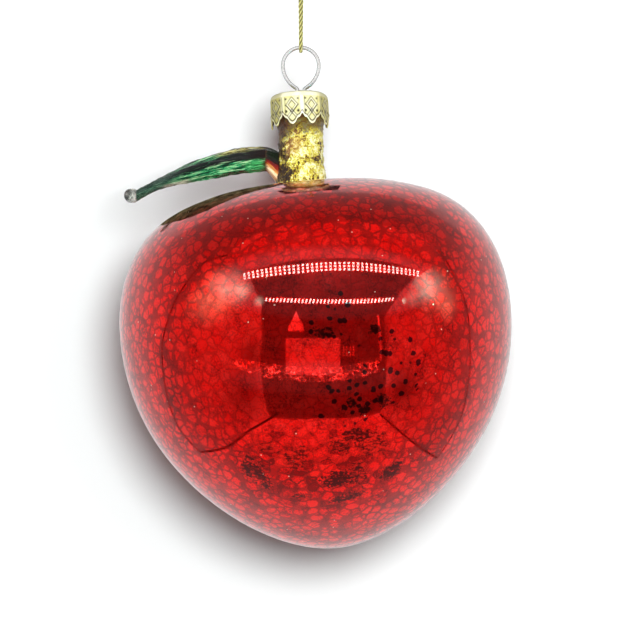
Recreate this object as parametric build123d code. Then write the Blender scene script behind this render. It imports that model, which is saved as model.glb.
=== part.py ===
from build123d import *
import math
import os

# Hanging apple of blown glass: a hollow bulb with a fused stem and leaf, a pressed metal crown cap on
# the stem's open end, a spring wire loop through the cap, and a thread that the loop hangs from.
# Millimetres. The origin is the top of the thread's knot, where the ornament hangs. +Z is up, the leaf
# points to -X and the front of the apple faces -Y.

OVERRUN = 1.0          # how far a cutter runs past what it cuts
QUARTER_TURN = 90
HALF_TURN = 180

# Thread and knot
THREAD_DIAMETER = 0.8
THREAD_RUN = 14.2      # from the knot down to the wire that the thread holds
THREAD_PLAY = 0.05     # between the thread and the wire that turns in it
KNOT_DIAMETER = 3.5
KNOT_HEIGHT = 2.6
KNOT_CORNER = 0.5
TAIL_LENGTH = 2.4      # each cut end of the thread that leaves the knot
TAIL_ANGLE = 48.0

# Wire hanger
WIRE_DIAMETER = 0.75
LOOP_RADIUS = 3.76     # of the loop's upper half, to the wire's centre line
FLANK_RADIUS = 5.4     # of the loop's two lower flanks
LOOP_LIFT = 6.35       # from the cap's top to the loop's centre
LEG_SPACING = 1.4      # between the two legs where they pass the cap
PINCH_BEND = 0.8       # radius of the bend from each flank into its leg
LEG_STRAIGHT = 3.0     # straight leg below the cap's top, before the legs spread
LEG_DEPTH = 12.0
LEG_BEND = 1.5
LEG_PLAY = 0.12        # between a spread leg and the bore of the stem

# Crown cap
CAP_RADIUS = 6.05
CAP_HEIGHT = 6.8
CAP_GAUGE = 0.3
CAP_CORNER = 1.1
CAP_LOBES = 9
LOBE_DROP = 2.0        # from the notch between two lobes to a lobe's tip
# (distance from a notch's middle as a share of the lobes' pitch, height as a share of the drop)
NOTCH_SHARES = ((0.0, 1.0), (0.13, 0.82), (0.25, 0.46), (0.38, 0.1), (0.5, -0.06))
HOLE_PLAY = 0.15       # between a leg and its hole in the cap

# Stem
STEM_RADIUS = 4.7
STEM_WALL = 0.7
STEM_RISE = 19.4       # from the bulb's shoulder to the stem's rim
# (radius as a share of the stem's radius, height as a share of its rise)
STEM_SHARES = ((1.42, -0.13), (1.27, -0.06), (1.16, 0.03), (1.1, 0.16), (1.02, 0.32), (0.99, 0.6), (1.0, 1.0))

# Bulb
BULB_RADIUS = 40.3
BULB_CROWN = 28.2      # from the widest ring up to the shoulder
BULB_DEPTH = 46.4      # from the widest ring down to the bottom
BULB_WALL = 1.0
BULB_LEAN = -5.3       # degrees that the blown bulb leans on its stem, its bottom away from the leaf
BULB_SHIFT = 0.5       # from the stem's axis to the bulb's, at the shoulder
DIMPLE_RADIUS = 5.0
DIMPLE_DEPTH = 1.7
# (radius as a share of the bulb's radius, height as a share of the crown or the depth)
CROWN_SHARES = ((0.37, 1.0), (0.53, 0.96), (0.75, 0.82), (0.892, 0.605), (0.973, 0.338), (1.0, 0.0))
BASE_SHARES = ((0.973, 0.205), (0.882, 0.43), (0.708, 0.655), (0.481, 0.837), (0.23, 0.958), (0.0, 1.0))

# Leaf
LEAF_LENGTH = 26.9
LEAF_REACH = 7.3       # from the stem's axis to the blade's root end
LEAF_LIFT = 6.5        # from the bulb's shoulder to the middle of the blade's root end
LEAF_DROOP = 7.6       # from there down to the middle of the blade's tip end
LEAF_WIDTH = 8.4
LEAF_THICKNESS = 4.5
LEAF_ROLL = 30.0       # degrees that the blade's front edge hangs down
# (place along the blade, droop, width, thickness)
LEAF_SHARES = (
    (0.0, 0.0, 0.74, 1.0),
    (0.185, 0.035, 1.0, 1.0),
    (0.41, 0.2, 0.97, 0.94),
    (0.64, 0.43, 0.73, 0.71),
    (0.87, 0.75, 0.31, 0.48),
    (1.0, 1.0, 0.26, 0.52),
)
TIP_RADIUS = 1.5
TIP_SEAT_SHARE = 0.85  # from the drop's centre to the blade's end, as a share of its radius
ROOT_HEIGHT = 7.8      # of the web that joins the blade to the stem, where it meets the stem
ROOT_WIDTH = 4.4
ROOT_DROP = 2.6        # from the blade's middle down to the web's, at the stem

# Places along Z, from the knot down
wire_top_z = -KNOT_HEIGHT - THREAD_RUN
loop_centre_z = wire_top_z - LOOP_RADIUS
cap_top_z = loop_centre_z - LOOP_LIFT
rim_z = cap_top_z - CAP_GAUGE
shoulder_z = rim_z - STEM_RISE
foot_z = shoulder_z + STEM_RISE * STEM_SHARES[0][1]
bore_radius = STEM_RADIUS - STEM_WALL
wire_radius = WIRE_DIAMETER / 2
thread_radius = THREAD_DIAMETER / 2
leg_x = LEG_SPACING / 2
bulb_place = Pos(BULB_SHIFT, 0, shoulder_z) * Rot(0, BULB_LEAN, 0)
bulb_place *= Pos(0, 0, -BULB_CROWN) * Rot(0, 0, QUARTER_TURN)


def swept_tube(path, radius):
    """A round tube along a path, with its section square to the path's start."""
    section = Plane(origin=path @ 0, z_dir=path % 0) * Circle(radius)
    return sweep(section, path=path)


def thread():
    """Two legs of one thread, side by side, joined by the turn that holds the wire loop."""
    turn_radius = wire_radius + thread_radius + THREAD_PLAY
    front_top = Vector(0, -turn_radius, -KNOT_HEIGHT)
    front_foot = Vector(0, -turn_radius, wire_top_z)
    turn_foot = Vector(0, 0, wire_top_z - turn_radius)
    back_foot = Vector(0, turn_radius, wire_top_z)
    back_top = Vector(0, turn_radius, -KNOT_HEIGHT)
    path = Line(front_top, front_foot) + ThreePointArc(front_foot, turn_foot, back_foot)
    path += Line(back_foot, back_top)
    half_turn = math.pi * turn_radius
    print("thread radius of turn", turn_radius, "length", 2 * THREAD_RUN + half_turn)
    return swept_tube(path, thread_radius)


def knot():
    """The tied knot with the thread's two cut ends standing out of its top."""
    body = Pos(0, 0, -KNOT_HEIGHT / 2) * Cylinder(KNOT_DIAMETER / 2, KNOT_HEIGHT)
    body = fillet(body.edges().filter_by(GeomType.CIRCLE), KNOT_CORNER)
    for side in (-1, 1):
        tail = Pos(0, 0, -KNOT_HEIGHT / 2) * Rot(0, side * TAIL_ANGLE, 0)
        tail *= Pos(0, 0, TAIL_LENGTH / 2) * Cylinder(thread_radius, TAIL_LENGTH)
        body += tail
    return body


def hanger():
    """One spring wire: a loop pinched above the cap and two legs that spread inside the stem."""
    flank_x = LOOP_RADIUS - FLANK_RADIUS
    bend_x = leg_x + PINCH_BEND
    reach = FLANK_RADIUS + PINCH_BEND
    bend_drop = math.sqrt(reach**2 - (bend_x - flank_x) ** 2)
    bend_z = loop_centre_z - bend_drop
    turn = math.degrees(math.asin(bend_drop / reach))
    flank = CenterArc((flank_x, -loop_centre_z), FLANK_RADIUS, 0, turn)
    bend = CenterArc((bend_x, -bend_z), PINCH_BEND, turn + HALF_TURN, -turn)
    spread_x = bore_radius - wire_radius - LEG_PLAY
    knee = Vector(leg_x, 0, cap_top_z - LEG_STRAIGHT)
    foot = Vector(spread_x, 0, cap_top_z - LEG_DEPTH)
    leg = FilletPolyline(Vector(leg_x, 0, bend_z), knee, foot, radius=LEG_BEND)
    side = Rot(-QUARTER_TURN, 0, 0) * (flank + bend) + leg
    widest = Vector(LOOP_RADIUS, 0, loop_centre_z)
    loop = ThreePointArc(widest, (0, 0, wire_top_z), (-LOOP_RADIUS, 0, loop_centre_z))
    path = Wire((side + loop + mirror(side, about=Plane.YZ)).edges())
    return swept_tube(path, wire_radius)


def lobe_notch():
    """What is cut away between the tips of two neighbouring lobes, standing square to the front."""
    pitch = 2 * math.pi * CAP_RADIUS / CAP_LOBES
    low_z = cap_top_z - CAP_HEIGHT
    right = [(pitch * along, low_z + LOBE_DROP * height) for along, height in NOTCH_SHARES]
    left = [(-x, z) for x, z in reversed(right[1:])]
    edge = Spline([(x, 0, z) for x, z in left + right])
    drop = Vector(0, 0, -OVERRUN)
    below = Polyline(edge @ 1, edge @ 1 + drop, edge @ 0 + drop, edge @ 0)
    return extrude(make_face(edge + below), CAP_RADIUS + OVERRUN, dir=(0, -1, 0))


def cap():
    """A thin pressed cup, open below, with a lobed skirt and two holes for the wire's legs."""
    outer = Pos(0, 0, cap_top_z - CAP_HEIGHT / 2) * Cylinder(CAP_RADIUS, CAP_HEIGHT)
    outer = fillet(outer.edges().filter_by(GeomType.CIRCLE).sort_by(Axis.Z)[-1], CAP_CORNER)
    hollow_height = CAP_HEIGHT - CAP_GAUGE + OVERRUN
    hollow = Pos(0, 0, rim_z - hollow_height / 2) * Cylinder(CAP_RADIUS - CAP_GAUGE, hollow_height)
    hollow = fillet(hollow.edges().filter_by(GeomType.CIRCLE).sort_by(Axis.Z)[-1], CAP_CORNER - CAP_GAUGE)
    shell = outer - hollow
    for i in range(CAP_LOBES):
        shell -= Rot(0, 0, 2 * HALF_TURN / CAP_LOBES * i) * lobe_notch()
    for side in (-1, 1):
        shell -= Pos(side * leg_x, 0, cap_top_z) * Cylinder(wire_radius + HOLE_PLAY, 2 * OVERRUN)
    return shell


def bulb_outline():
    """(radius, height) points of the bulb's outside, from the dimple's floor down to the bottom."""
    points = [(DIMPLE_RADIUS, BULB_CROWN - DIMPLE_DEPTH)]
    points += [(BULB_RADIUS * r, BULB_CROWN * z) for r, z in CROWN_SHARES]
    points += [(BULB_RADIUS * r, -BULB_DEPTH * z) for r, z in BASE_SHARES]
    return points


def inset(points, distance):
    """The points moved square to their outline, towards its inside. Both ends of the outline lie level."""
    moved = []
    for i, (r, z) in enumerate(points):
        if i == 0:
            moved.append((r, z - distance))
        elif i == len(points) - 1:
            moved.append((r, z + distance))
        else:
            along = Vector(*points[i + 1]) - Vector(*points[i - 1])
            inward = Vector(along.Y, -along.X) * (distance / along.length)
            moved.append((r + inward.X, z + inward.Y))
    return moved


def outline_curve(points):
    """The smooth line through (radius, height) points, level at both ends."""
    placed = [(r, 0, z) for r, z in points]
    return Spline(placed, tangents=[(1, 0, 0), (-1, 0, 0)], tangent_scalars=[1, 1])


def bulb_solid():
    """The bulb's outside as one full solid."""
    side = outline_curve(bulb_outline())
    top = side @ 0
    closing = Polyline(side @ 1, (0, 0, top.Z), top)
    return bulb_place * revolve(make_face(side + closing), Axis.Z)


def bore(low_z, high_z):
    """The stem's clear bore between two heights."""
    return Pos(0, 0, (low_z + high_z) / 2) * Cylinder(bore_radius, high_z - low_z)


def bulb():
    """The hollow red bulb, open at the top into the stem's bore."""
    outer = outline_curve(bulb_outline())
    inner = outline_curve(inset(bulb_outline(), BULB_WALL))
    crown = Polyline(outer @ 0, (0, 0, (outer @ 0).Z), (0, 0, (inner @ 0).Z), inner @ 0)
    wall = make_face(outer + inner + crown + Line(outer @ 1, inner @ 1))
    shell = bulb_place * revolve(wall, Axis.Z)
    return shell - bore(foot_z - BULB_WALL - OVERRUN, shoulder_z)


def stem_outside():
    """The stem's outer form as a solid, with its foot still running into the bulb."""
    side = [(STEM_RADIUS * r, 0, shoulder_z + STEM_RISE * z) for r, z in STEM_SHARES]
    edge = Spline(side)
    rest = Polyline(edge @ 1, (0, 0, rim_z), (0, 0, foot_z), edge @ 0)
    return revolve(make_face(edge + rest), Axis.Z)


def leaf_middle(i):
    """The middle of one leaf section."""
    along, droop, _, _ = LEAF_SHARES[i]
    return Vector(-LEAF_REACH - LEAF_LENGTH * along, 0, shoulder_z + LEAF_LIFT - LEAF_DROOP * droop)


def leaf_section(i):
    """One section across the leaf, rolled about the blade's length."""
    _, _, width, thickness = LEAF_SHARES[i]
    plane = Plane(origin=leaf_middle(i), x_dir=(0, 1, 0), z_dir=(1, 0, 0))
    return plane * Rot(0, 0, LEAF_ROLL) * Ellipse(LEAF_WIDTH * width / 2, LEAF_THICKNESS * thickness / 2)


def leaf_blade():
    return loft([leaf_section(i) for i in range(len(LEAF_SHARES))])


def leaf_tip():
    """The clear drop of glass that closes the blade's tip."""
    end = leaf_middle(len(LEAF_SHARES) - 1)
    drop = Pos(end.X - TIP_RADIUS * TIP_SEAT_SHARE, 0, end.Z) * Sphere(TIP_RADIUS)
    side = 2 * TIP_RADIUS
    return drop & Pos(end.X - side / 2, 0, end.Z) * Box(side, side, side)


def leaf_root(stem_form, bulb_form):
    """The web of glass that carries the blade, fused to the stem's side and down to its foot."""
    middle = Vector(-bore_radius, 0, leaf_middle(0).Z - ROOT_DROP)
    plane = Plane(origin=middle, x_dir=(0, 1, 0), z_dir=(1, 0, 0))
    wall_end = plane * Ellipse(ROOT_WIDTH / 2, ROOT_HEIGHT / 2)
    return loft([leaf_section(0), wall_end]) - stem_form - bulb_form


def main():
    os.makedirs("parts", exist_ok=True)
    bulb_form = bulb_solid()
    stem_form = stem_outside()
    nodes = {
        "thread_knot": knot(),
        "hanging_thread": thread(),
        "wire_hanger": hanger(),
        "crown_cap": cap(),
        "glass_apple": bulb(),
        "glass_stem": stem_form - bulb_form - bore(foot_z - OVERRUN, rim_z + OVERRUN),
        "leaf_root": leaf_root(stem_form, bulb_form),
        "leaf_blade": leaf_blade(),
        "leaf_tip": leaf_tip(),
    }
    for name, shape in nodes.items():
        export_step(shape, f"parts/{name}.step")


if __name__ == "__main__":
    main()
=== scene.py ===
import math

import bmesh
import bpy
import numpy as np
from mathutils import Matrix, Vector, noise


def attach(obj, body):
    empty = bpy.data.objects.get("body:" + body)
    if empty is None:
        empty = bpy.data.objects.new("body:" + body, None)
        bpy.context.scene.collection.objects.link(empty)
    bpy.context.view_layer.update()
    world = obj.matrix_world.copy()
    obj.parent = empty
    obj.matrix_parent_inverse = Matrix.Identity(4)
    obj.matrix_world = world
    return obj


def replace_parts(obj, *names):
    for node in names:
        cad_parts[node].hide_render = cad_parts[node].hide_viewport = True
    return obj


# Looks of the hanging glass apple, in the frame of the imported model: +Z is up and the front faces
# -Y. Sizes and places are in millimetres, and MM takes them to Blender's metres.
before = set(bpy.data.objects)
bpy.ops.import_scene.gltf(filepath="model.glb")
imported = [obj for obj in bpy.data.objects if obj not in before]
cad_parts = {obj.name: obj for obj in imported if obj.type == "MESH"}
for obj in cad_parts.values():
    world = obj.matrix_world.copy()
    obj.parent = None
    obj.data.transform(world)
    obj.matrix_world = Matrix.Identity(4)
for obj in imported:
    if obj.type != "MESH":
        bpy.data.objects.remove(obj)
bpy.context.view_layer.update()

MM = 0.001
TURN = 2 * math.pi

# Camera
PHOTO_WIDTH = 640       # pixels
FOCAL_PIXELS = 1101.5   # the lens's focal length in pixels of the photograph
SENSOR_WIDTH = 36
CAMERA_PLACE = (4.0, -230, -73.7)

# Thread: the route of the part's source
THREAD_RADIUS = 0.4
TURN_RADIUS = 0.825
KNOT_LOW = -2.6
WIRE_TOP = -16.8
STRAIGHT_END = -12.0
THREAD_ROUTE = [
    (-0.15, -TURN_RADIUS, KNOT_LOW),
    (-0.07, -TURN_RADIUS, STRAIGHT_END),
    (0.0, -TURN_RADIUS, WIRE_TOP - TURN_RADIUS),
    (0.0, TURN_RADIUS, WIRE_TOP - TURN_RADIUS),
    (0.07, TURN_RADIUS, STRAIGHT_END),
    (0.15, TURN_RADIUS, KNOT_LOW),
]

# The strands that the thread is laid from
STRANDS = 3
STRAND_STEP = 0.12      # between two rings of a strand
STRAND_PITCH = 3.3      # along the thread for one turn of a strand
STRAND_SIDES = 15
STRAND_SHARE = 0.51     # a strand's radius as a share of the thread's
STRAND_OFFSET = 0.49    # from the thread's middle to a strand's, as a share of its radius
FILAMENTS = 5
FILAMENT_DEPTH = 0.1    # share of a strand's radius
FILAMENT_LAY = -0.9     # turn of the filaments for each millimetre, in radians
STRAND_SHADE_LOW = 0.62        # share of the thread's radius where the painted shade between the strands ends
STRAND_SHADE_RISE = 0.3

# Knot
KNOT_WIDTH = 0.44
KNOT_RISE = 0.72
KNOT_STEPS = 120
TAIL_STEPS = 24

# Cap, stem, bulb and leaf: the sizes of the part's source
CAP_TOP = -26.91
CAP_RADIUS = 6.05
CAP_HEIGHT = 6.8
CAP_GAUGE = 0.3
CAP_CORNER = 1.1
CAP_LOBES = 9
LOBE_DROP = 2.0
STEM_RADIUS = 4.7
BORE_RADIUS = 4.0
RIM = -27.21
SHOULDER = -46.61
STEM_SHARES = (
    (1.42, -0.13),
    (1.27, -0.06),
    (1.16, 0.03),
    (1.1, 0.16),
    (1.02, 0.32),
    (0.99, 0.6),
    (1.0, 1.0),
)
BULB_RADIUS = 40.3
BULB_CROWN = 28.2
BULB_DEPTH = 46.4
BULB_WALL = 1.0
BULB_LEAN = -5.3
BULB_SHIFT = 0.5
DIMPLE_RADIUS = 5.0
DIMPLE_DEPTH = 1.7
CROWN_SHARES = ((0.37, 1.0), (0.53, 0.96), (0.75, 0.82), (0.892, 0.605), (0.973, 0.338), (1.0, 0.0))
BASE_SHARES = (
    (0.973, 0.205),
    (0.882, 0.43),
    (0.708, 0.655),
    (0.481, 0.837),
    (0.23, 0.958),
    (0.0, 1.0),
)
LEAF_LENGTH = 26.9
LEAF_REACH = 7.3
LEAF_HEIGHT = SHOULDER + 6.5
LEAF_DROOP = 7.6
LEAF_WIDTH = 8.4
LEAF_THICKNESS = 4.5
LEAF_ROLL = math.radians(30)
LEAF_SHARES = (
    (0.0, 0.0, 0.74, 1.0),
    (0.185, 0.035, 1.0, 1.0),
    (0.41, 0.2, 0.97, 0.94),
    (0.64, 0.43, 0.73, 0.71),
    (0.87, 0.75, 0.31, 0.48),
    (1.0, 1.0, 0.26, 0.52),
)
TIP_RADIUS = 1.5
ROOT_HEIGHT = 7.8
ROOT_WIDTH = 4.4
ROOT_DROP = 2.6

# How finely the bulb, the stem and the leaf are divided
BULB_SEGMENTS = 257
BULB_RINGS = 290
INSIDE_STEPS = 120
OUTSIDE_STEPS = 200
WELD = 1e-6             # metres
STEM_SIDES = 220
STEM_STEPS = 150
BORE_STEPS = 20
LEAF_ROWS = 150
ROOT_ROWS = 40
LEAF_SIDES = 108
TIP_ROWS = 40
TIP_SIDES = 48

# Detail that only the looks have
FOIL_FADE = 0.8         # below the stem's rim, where the foil's lumps begin
ROOT_SINK = 0.35        # of the leaf's root into the stem's wall
ROOT_FLARE = 1.35
TIP_LENGTH = 2.7
# (distance from the blade's end as a share of the length, radius as a share)
TIP_SHARES = (
    (0.0, 0.74),
    (0.10, 0.92),
    (0.30, 1.0),
    (0.55, 0.99),
    (0.75, 0.86),
    (0.9, 0.60),
    (0.975, 0.32),
    (1.0, 0.0),
)

# Pressed ornament of the cap
LOBE_PITCH = TURN / CAP_LOBES
# (distance from a lobe's tip as a share of the pitch, height as a share of the drop)
EDGE_SHARES = (
    (0.0, 1.0),
    (0.09, 0.74),
    (0.17, 0.60),
    (0.25, 0.50),
    (0.33, 0.20),
    (0.42, 0.01),
    (0.5, -0.05),
)
DIAMOND_WIDTH = 1.05
DIAMOND_HEIGHT = 1.25
DIAMOND_LEVELS = (-2.95, -5.50)
DOT_ACROSS = 1.30       # from a diamond's middle to its four dots
DOT_UP = 1.22
GROOVE_RADIUS = 3.9     # of the ring pressed into the cap's top
LOBE_COLUMNS = 38
TOP_ROWS = 20
CORNER_ROWS = 7
SKIRT_ROWS = 54
FACET_SHARE = 0.45      # how far the panels are flattened between two creases
CAP_SPIN = math.radians(6)
CAP_TILT = math.radians(-3.0)
CAP_SHIFT = (-0.48, 0, 0.1)
GAUGE_SHARE = 0.8       # of the sheet's gauge, so that the wall stays inside the solid's


# Node trees


class Value:
    """One output of a node. Python's operators on it add Math nodes to its tree."""

    def __init__(self, bench, socket):
        self.bench = bench
        self.socket = socket

    def __add__(self, other):
        return self.bench.math("ADD", self, other)

    def __radd__(self, other):
        return self.bench.math("ADD", other, self)

    def __sub__(self, other):
        return self.bench.math("SUBTRACT", self, other)

    def __rsub__(self, other):
        return self.bench.math("SUBTRACT", other, self)

    def __mul__(self, other):
        return self.bench.math("MULTIPLY", self, other)

    def __rmul__(self, other):
        return self.bench.math("MULTIPLY", other, self)

    def __pow__(self, other):
        return self.bench.math("POWER", self, other)

    def __gt__(self, other):
        return self.bench.math("GREATER_THAN", self, other)

    def step(self, low, high):
        """0 up to low and 1 from high on, with a smooth way between them."""
        sockets = {"Value": self, "From Min": low, "From Max": high}
        return self.bench.node("ShaderNodeMapRange", {"interpolation_type": "SMOOTHSTEP"}, sockets)

    def sway(self, width):
        """The value, usually a noise from 0 to 1, as a sway of this whole width about nothing."""
        return width * (self - 0.5)

    def output(self, name):
        """Another output of the same node."""
        return Value(self.bench, self.socket.node.outputs[name])


class Bench:
    """A node tree that is being filled."""

    def __init__(self, tree):
        self.tree = tree
        tree.nodes.clear()

    def node(self, kind, settings=None, sockets=None, out=0):
        """Adds a node: its settings first, then the values and links of its sockets."""
        made = self.tree.nodes.new(kind)
        for name, value in (settings or {}).items():
            if name == "stops":
                self.fill_ramp(made.color_ramp, value)
            else:
                setattr(made, name, value)
        for name, value in (sockets or {}).items():
            if isinstance(value, Value):
                self.tree.links.new(value.socket, made.inputs[name])
            else:
                made.inputs[name].default_value = value
        return Value(self, made.outputs[out]) if len(made.outputs) else made

    def fill_ramp(self, ramp, stops):
        while len(ramp.elements) < len(stops):
            ramp.elements.new(1.0)
        for element, (place, tone) in zip(ramp.elements, stops):
            element.position = place
            element.color = (*tone, 1.0)

    def math(self, operation, a, b=0.0):
        return self.node("ShaderNodeMath", {"operation": operation}, {0: a, 1: b})

    def vector(self, operation, a, b=(0, 0, 0), scale=1.0):
        out = "Value" if operation in ("DISTANCE", "LENGTH") else "Vector"
        sockets = {0: a, "Scale": scale} if operation == "SCALE" else {0: a, 1: b}
        return self.node("ShaderNodeVectorMath", {"operation": operation}, sockets, out)

    def join(self, x, y, z):
        return self.node("ShaderNodeCombineXYZ", sockets={0: x, 1: y, 2: z})

    def split(self, vector):
        first = self.node("ShaderNodeSeparateXYZ", sockets={0: vector})
        return first, first.output("Y"), first.output("Z")

    def blend(self, share, a, b):
        """Colour a where share is 0 and colour b where it is 1."""
        a = a if isinstance(a, Value) else (*a, 1.0)
        b = b if isinstance(b, Value) else (*b, 1.0)
        return self.node("ShaderNodeMix", {"data_type": "RGBA"}, {0: share, 6: a, 7: b}, 2)

    def ramp(self, share, stops):
        return self.node("ShaderNodeValToRGB", {"stops": stops}, {0: share})


class Finish(Bench):
    """A material that is being painted."""

    def __init__(self, name):
        self.material = bpy.data.materials.new(name)
        self.material.use_nodes = True
        super().__init__(self.material.node_tree)

    def place(self):
        """Object coordinates, in millimetres."""
        point = self.node("ShaderNodeTexCoord", out="Object")
        return self.vector("SCALE", point, scale=1 / MM)

    def noise(self, vector, scale, detail=2.0, roughness=0.5):
        sockets = {"Vector": vector, "Scale": scale, "Detail": detail, "Roughness": roughness}
        return self.node("ShaderNodeTexNoise", {"noise_dimensions": "3D"}, sockets)

    def cells(self, vector, scale, feature="F1", out="Distance"):
        sockets = {"Vector": vector, "Scale": scale}
        return self.node("ShaderNodeTexVoronoi", {"feature": feature}, sockets, out)

    def attribute(self, name):
        return self.node("ShaderNodeAttribute", {"attribute_name": name}, out="Fac")

    def warp(self, place, drift, reach):
        """A place moved about by a noise's colours, so that what is laid out on it looks grown."""
        return self.vector("ADD", place, self.vector("SCALE", drift, scale=reach))

    def near(self, place, middle, full, end):
        """1 up to a distance from a middle, and 0 from a larger one on."""
        return 1 - self.vector("DISTANCE", place, middle).step(full, end)

    def reach(self, place, middle, stretch):
        """Distance from a middle, in a space that is stretched along its axes."""
        away = self.vector("SUBTRACT", place, middle)
        return self.vector("LENGTH", self.vector("MULTIPLY", away, stretch))

    def bump(self, height, distance):
        """A bump whose distance is in metres."""
        return self.node("ShaderNodeBump", sockets={"Distance": distance, "Height": height})

    def front_only(self, shader):
        """The shader on the front of a face, and nothing on its back."""
        back = self.node("ShaderNodeNewGeometry", out="Backfacing")
        clear = self.node("ShaderNodeBsdfTransparent")
        return self.node("ShaderNodeMixShader", sockets={0: back, 1: shader, 2: clear})

    def done(self, shader):
        self.node("ShaderNodeOutputMaterial", sockets={"Surface": shader})
        return self.material

    def surface(self, sockets):
        return self.done(self.node("ShaderNodeBsdfPrincipled", sockets=sockets))


# Curves and meshes


def cubic(places, values, ends=None):
    """A smooth curve through values at rising places. ends are its two end slopes, if given."""
    x = np.array(places, float)
    y = np.array(values, float).reshape(len(x), -1)
    n = len(x)
    h = np.diff(x)
    a = np.zeros((n, n))
    b = np.zeros((n, y.shape[1]))
    for i in range(1, n - 1):
        a[i, i - 1 : i + 2] = (h[i], 2 * (h[i - 1] + h[i]), h[i - 1])
        b[i] = 3 * (h[i] * (y[i] - y[i - 1]) / h[i - 1] + h[i - 1] * (y[i + 1] - y[i]) / h[i])
    if ends is None:
        a[0, :2] = (2, 1)
        b[0] = 3 * (y[1] - y[0]) / h[0]
        a[-1, -2:] = (1, 2)
        b[-1] = 3 * (y[-1] - y[-2]) / h[-1]
    else:
        a[0, 0] = a[-1, -1] = 1
        b[0], b[-1] = ends
    slope = np.linalg.solve(a, b)

    def at(place):
        i = int(np.clip(np.searchsorted(x, place) - 1, 0, n - 2))
        t = (place - x[i]) / h[i]
        return (
            y[i] * (1 + 2 * t) * (1 - t) ** 2
            + y[i + 1] * t * t * (3 - 2 * t)
            + h[i] * (slope[i] * t * (1 - t) ** 2 - slope[i + 1] * t * t * (1 - t))
        )

    return at


def along_points(points, ends=None):
    """A smooth curve through points, as a function of the way along it from 0 to 1."""
    steps = np.linalg.norm(np.diff(np.array(points, float), axis=0), axis=1)
    ways = np.concatenate(([0], np.cumsum(steps)))
    curve = cubic(ways, points, ends)
    return lambda share: curve(share * ways[-1])


def hump(value, middle, width, power=2):
    """1 at the middle, and close to 0 from about two widths away."""
    return math.exp(-(((value - middle) / width) ** power))


def held(share):
    """The share, kept from 0 to 1."""
    return min(1.0, max(0.0, share))


def made_object(name, mesh):
    piece = bpy.data.objects.new(name, mesh)
    bpy.context.scene.collection.objects.link(piece)
    return piece


def mesh_object(name, vertices, faces, material):
    """An object at the origin with a mesh, from vertices in millimetres."""
    mesh = bpy.data.meshes.new(name)
    mesh.from_pydata([Vector(v) * MM for v in vertices], [], faces)
    mesh.update()
    mesh.materials.append(material)
    return made_object(name, mesh)


def new_piece(name, skin, material, body, marks=None):
    """A smooth piece of the ornament. marks are values on its vertices, by name."""
    piece = mesh_object(name, *skin, material)
    for key, values in (marks or {}).items():
        layer = piece.data.attributes.new(key, "FLOAT", "POINT")
        layer.data.foreach_set("value", np.array(values, np.float32))
    piece.data.polygons.foreach_set("use_smooth", [True] * len(piece.data.polygons))
    return settle(piece, body)


def settle(piece, body):
    """Turns the faces outwards and lets the piece ride on its body."""
    shape = bmesh.new()
    shape.from_mesh(piece.data)
    bmesh.ops.recalc_face_normals(shape, faces=shape.faces)
    shape.to_mesh(piece.data)
    shape.free()
    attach(piece, body)
    return piece


def rings_mesh(rings, close_start=True, close_end=True):
    """Vertices and faces of a skin over rings of equal count, each end closed by a fan."""
    count = len(rings[0])
    vertices = [p for ring in rings for p in ring]
    faces = []
    for j in range(len(rings) - 1):
        for i in range(count):
            k = (i + 1) % count
            faces.append((j * count + i, j * count + k, (j + 1) * count + k, (j + 1) * count + i))
    for wanted, first in ((close_start, 0), (close_end, (len(rings) - 1) * count)):
        if wanted:
            middle = sum((Vector(p) for p in rings[first // count]), Vector()) / count
            vertices.append(tuple(middle))
            for i in range(count):
                faces.append((len(vertices) - 1, first + i, first + (i + 1) % count))
    return vertices, faces


def carried_frames(points):
    """(point, side, up) along a line, with the sides carried on without twisting about it."""
    frames = []
    side = None
    for i, p in enumerate(points):
        ahead = (points[min(i + 1, len(points) - 1)] - points[max(i - 1, 0)]).normalized()
        side = side or ahead.orthogonal().normalized()
        side = (side - ahead * side.dot(ahead)).normalized()
        frames.append((p, side, ahead.cross(side)))
    return frames


# Camera


def make_camera():
    """The photograph's viewing angle: level, square to the front, 32 degrees across."""
    data = bpy.data.cameras.new("camera")
    data.sensor_width = SENSOR_WIDTH
    data.lens = SENSOR_WIDTH * FOCAL_PIXELS / PHOTO_WIDTH
    data.clip_start = 0.01
    data.clip_end = 20
    camera = made_object("camera", data)
    camera.location = Vector(CAMERA_PLACE) * MM
    camera.rotation_euler = (math.radians(90), 0, 0)
    bpy.context.scene.camera = camera


# Thread


def thread_metal():
    """Metal foil wound on yarn, with painted shade: olive gaps between the strands and darker lines
    between the filaments.
    """
    finish = Finish("gold_thread")
    glint = finish.noise(finish.place(), 9.0, 3.0, 0.7).step(0.35, 0.68)
    tone = finish.blend(glint, (0.64, 0.60, 0.11), (1.0, 1.0, 0.50))
    # painted shade: near black olive between the strands, lighter on their outer sides
    tone = finish.blend(finish.attribute("fibre").step(0.15, 0.90), (0.055, 0.045, 0.004), tone)
    return finish.surface({"Base Color": tone, "Metallic": 0.3, "Roughness": 0.45 - 0.2 * glint})


def centreline():
    """The thread's line, read from a smooth spline through the route's control points."""
    data = bpy.data.curves.new("thread_route", "CURVE")
    data.dimensions = "3D"
    data.resolution_u = 48
    spline = data.splines.new("NURBS")
    spline.points.add(len(THREAD_ROUTE) - 1)
    for point, place in zip(spline.points, THREAD_ROUTE):
        point.co = (*(Vector(place) * MM), 1.0)
    spline.order_u = 3
    spline.use_endpoint_u = True
    route = made_object("thread_route", data)
    bpy.context.view_layer.update()
    line = bpy.data.meshes.new_from_object(route)
    points = [v.co.copy() for v in line.vertices]
    bpy.data.objects.remove(route)
    bpy.data.meshes.remove(line)
    return points


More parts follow.
